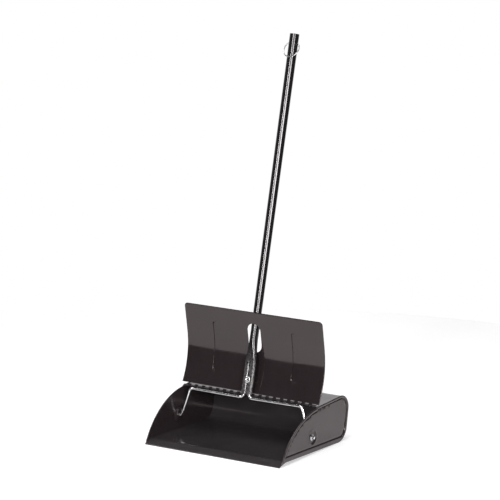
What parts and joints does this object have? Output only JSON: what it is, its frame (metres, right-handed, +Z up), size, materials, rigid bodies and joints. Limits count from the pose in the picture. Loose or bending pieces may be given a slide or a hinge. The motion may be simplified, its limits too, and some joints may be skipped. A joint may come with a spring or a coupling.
{
  "type": "lobby dustpan",
  "caption": "Upright sheet-metal lobby dustpan with a hinged self-closing lid, a wire yoke and a long tube handle with a hanging ring.",
  "frame": {"origin": "on the floor, at mid width, straight below the lid's hinge rod", "axes": "+Z up, +X to the right seen from the open mouth, -Y out of the mouth"},
  "size_m": [0.311, 0.3015, 0.7532],
  "materials": {
    "black_enamel": "gloss",
    "handle_black": "gloss",
    "bright_wire": "bright zinc plating",
    "zinc_steel": "zinc plated"
  },
  "bodies": {
    "pan": {"pan_wrapper": "black_enamel", "end_panel_left": "black_enamel", "end_panel_right": "black_enamel", "hinge_rod": "zinc_steel"},
    "lid": {"lid": "black_enamel"},
    "handle": {"yoke_wire": "bright_wire", "handle_end": "handle_black", "handle_tube": "handle_black", "yoke_rivet": "bright_wire", "push_nut_left": "zinc_steel", "push_nut_right": "zinc_steel"},
    "ring": {"hang_ring": "bright_wire"}
  },
  "joints": [
    {"name": "handle_tilt", "type": "hinge", "parent": "pan", "child": "handle", "pos_m": [0, -0.018, 0.0315], "axis": [1, 0, 0], "range_deg": [0, 88]},
    {"name": "lid_hinge", "type": "hinge", "parent": "pan", "child": "lid", "pos_m": [0, 0, 0.087], "axis": [1, 0, 0], "range_deg": [0, 125]},
    {"name": "ring_swing", "type": "hinge", "parent": "handle", "child": "ring", "pos_m": [0, 0.15852, 0.7345], "axis": [-1, 0, 0], "range_deg": [0, 317.5]}
  ],
  "couplings": [
    {"joint": "lid_hinge", "follows": "handle_tilt", "ratio": 1.42}
  ]
}
